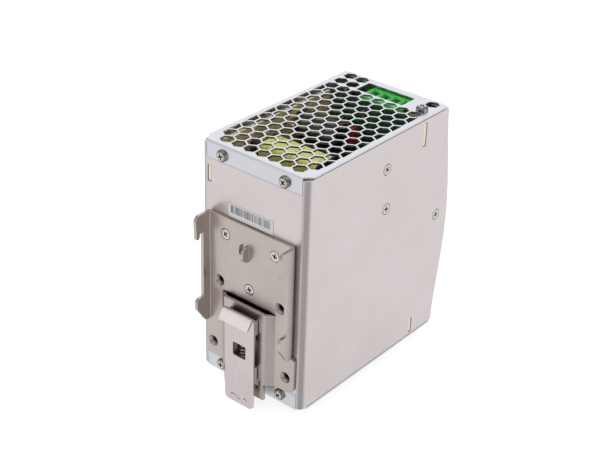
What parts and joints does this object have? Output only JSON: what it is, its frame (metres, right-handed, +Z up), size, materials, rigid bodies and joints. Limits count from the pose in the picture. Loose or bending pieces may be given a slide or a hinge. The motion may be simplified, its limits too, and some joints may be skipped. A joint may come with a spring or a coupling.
{
  "type": "din rail power supply",
  "caption": "Metal-cased power supply that clips to a 35 mm DIN rail, with perforated covers, screw terminals at the front edge and a sprung slide latch.",
  "frame": {"origin": "centre of the 35 mm rail, on the plane where the rail's front face rests on the bracket's flanges", "axes": "+X to the left when seen from behind, +Y to the rear towards the rail, +Z up; the terminals' driver holes face -Y"},
  "size_m": [0.063, 0.127, 0.1326],
  "materials": {
    "nickel_sheet": "nickel-plated sheet, satin",
    "zinc_sheet": "bright zinc-plated sheet",
    "screw_steel": "bright nickel-plated screws",
    "front_print": "printed polyester front label",
    "white_label": "white label with a bar pattern",
    "bracket_steel": "nickel-plated steel, satin",
    "latch_steel": "zinc-plated steel, satin",
    "spring_steel": "drawn spring wire",
    "board_tan": "bare tan circuit board",
    "board_green": "dark green solder resist",
    "insulation_film": "translucent film",
    "ferrite": "ground ferrite",
    "black_plastic": "moulded",
    "yellow_tape": "polyester tape",
    "copper_wire": "enamelled copper wire",
    "capacitor_sleeve": "shrunk sleeve",
    "filter_capacitor_case": "moulded box",
    "red_epoxy": "dipped epoxy",
    "fuse_ceramic": "ceramic tube",
    "thermistor_epoxy": "dipped disc",
    "black_aluminium": "black anodised",
    "terminal_green": "moulded polyamide",
    "clamp_steel": "zinc-plated screw",
    "trimmer_blue": "moulded",
    "trimmer_white": "moulded",
    "light_pipe": "clear green acrylic"
  },
  "bodies": {
    "root": {"case_shell": "nickel_sheet", "front_panel": "nickel_sheet", "top_cover": "zinc_sheet", "bottom_cover": "zinc_sheet", "top_cover_screw_left": "screw_steel", "top_cover_screw_right": "screw_steel", "bottom_cover_screw_left": "screw_steel", "bottom_cover_screw_right": "screw_steel", "top_cover_screw_front": "screw_steel", "bottom_cover_screw_front": "screw_steel", "side_screw_upper": "screw_steel", "side_screw_lower": "screw_steel", "side_screw_front": "screw_steel", "bracket_screw_left": "screw_steel", "bracket_screw_right": "screw_steel", "bracket_screw_centre": "screw_steel", "front_label": "front_print", "barcode_label": "white_label", "rail_bracket": "bracket_steel", "latch_spring": "spring_steel", "main_board": "board_tan", "front_board": "board_green", "insulation_sheet": "insulation_film", "transformer_core": "ferrite", "boost_choke_core": "ferrite", "filter_choke_core": "ferrite", "transformer_bobbin": "black_plastic", "switch_transistor_1": "black_plastic", "switch_transistor_2": "black_plastic", "bridge_rectifier": "black_plastic", "output_rectifier_1": "black_plastic", "output_rectifier_2": "black_plastic", "transformer_winding": "yellow_tape", "boost_choke_winding": "copper_wire", "filter_choke_winding_1": "copper_wire", "filter_choke_winding_2": "copper_wire", "bulk_capacitor_1": "capacitor_sleeve", "bulk_capacitor_2": "capacitor_sleeve", "output_capacitor_1": "capacitor_sleeve", "output_capacitor_2": "capacitor_sleeve", "output_capacitor_3": "capacitor_sleeve", "filter_capacitor": "filter_capacitor_case", "film_capacitor": "red_epoxy", "input_fuse": "fuse_ceramic", "inrush_thermistor": "thermistor_epoxy", "primary_heatsink": "black_aluminium", "output_heatsink": "black_aluminium", "output_terminal_block": "terminal_green", "input_terminal_block": "terminal_green", "voltage_trimmer_body": "trimmer_blue", "status_light_pipe": "light_pipe"},
    "latch": {"rail_latch": "latch_steel"},
    "trimmer": {"voltage_trimmer_knob": "trimmer_white"},
    "output_clamp_1": {"output_clamp_screw_1": "clamp_steel"},
    "output_clamp_2": {"output_clamp_screw_2": "clamp_steel"},
    "output_clamp_3": {"output_clamp_screw_3": "clamp_steel"},
    "output_clamp_4": {"output_clamp_screw_4": "clamp_steel"},
    "input_clamp_1": {"input_clamp_screw_1": "clamp_steel"},
    "input_clamp_2": {"input_clamp_screw_2": "clamp_steel"},
    "input_clamp_3": {"input_clamp_screw_3": "clamp_steel"}
  },
  "joints": [
    {"name": "latch_slide", "type": "slide", "parent": "root", "child": "latch", "axis": [0, 0, -1], "range_m": [0, 0.005], "stiffness_N_per_m": 1500, "springref_m": -0.004, "deforming": ["latch_spring"]},
    {"name": "trimmer_turn", "type": "hinge", "parent": "root", "child": "trimmer", "pos_m": [0.0205, -0.104, 0.0356], "axis": [0, -1, 0], "range_deg": [-135, 135]},
    {"name": "output_clamp_turn_1", "type": "hinge", "parent": "root", "child": "output_clamp_1", "pos_m": [0.00643, -0.108, 0.0506], "axis": [0, -1, 0], "continuous": true},
    {"name": "output_clamp_turn_2", "type": "hinge", "parent": "root", "child": "output_clamp_2", "pos_m": [0.00007, -0.108, 0.0506], "axis": [0, -1, 0], "continuous": true},
    {"name": "output_clamp_turn_3", "type": "hinge", "parent": "root", "child": "output_clamp_3", "pos_m": [-0.00628, -0.108, 0.0506], "axis": [0, -1, 0], "continuous": true},
    {"name": "output_clamp_turn_4", "type": "hinge", "parent": "root", "child": "output_clamp_4", "pos_m": [-0.01263, -0.108, 0.0506], "axis": [0, -1, 0], "continuous": true},
    {"name": "input_clamp_turn_1", "type": "hinge", "parent": "root", "child": "input_clamp_1", "pos_m": [0.00452, -0.108, -0.0502], "axis": [0, -1, 0], "continuous": true},
    {"name": "input_clamp_turn_2", "type": "hinge", "parent": "root", "child": "input_clamp_2", "pos_m": [-0.0031, -0.108, -0.0502], "axis": [0, -1, 0], "continuous": true},
    {"name": "input_clamp_turn_3", "type": "hinge", "parent": "root", "child": "input_clamp_3", "pos_m": [-0.01072, -0.108, -0.0502], "axis": [0, -1, 0], "continuous": true}
  ]
}
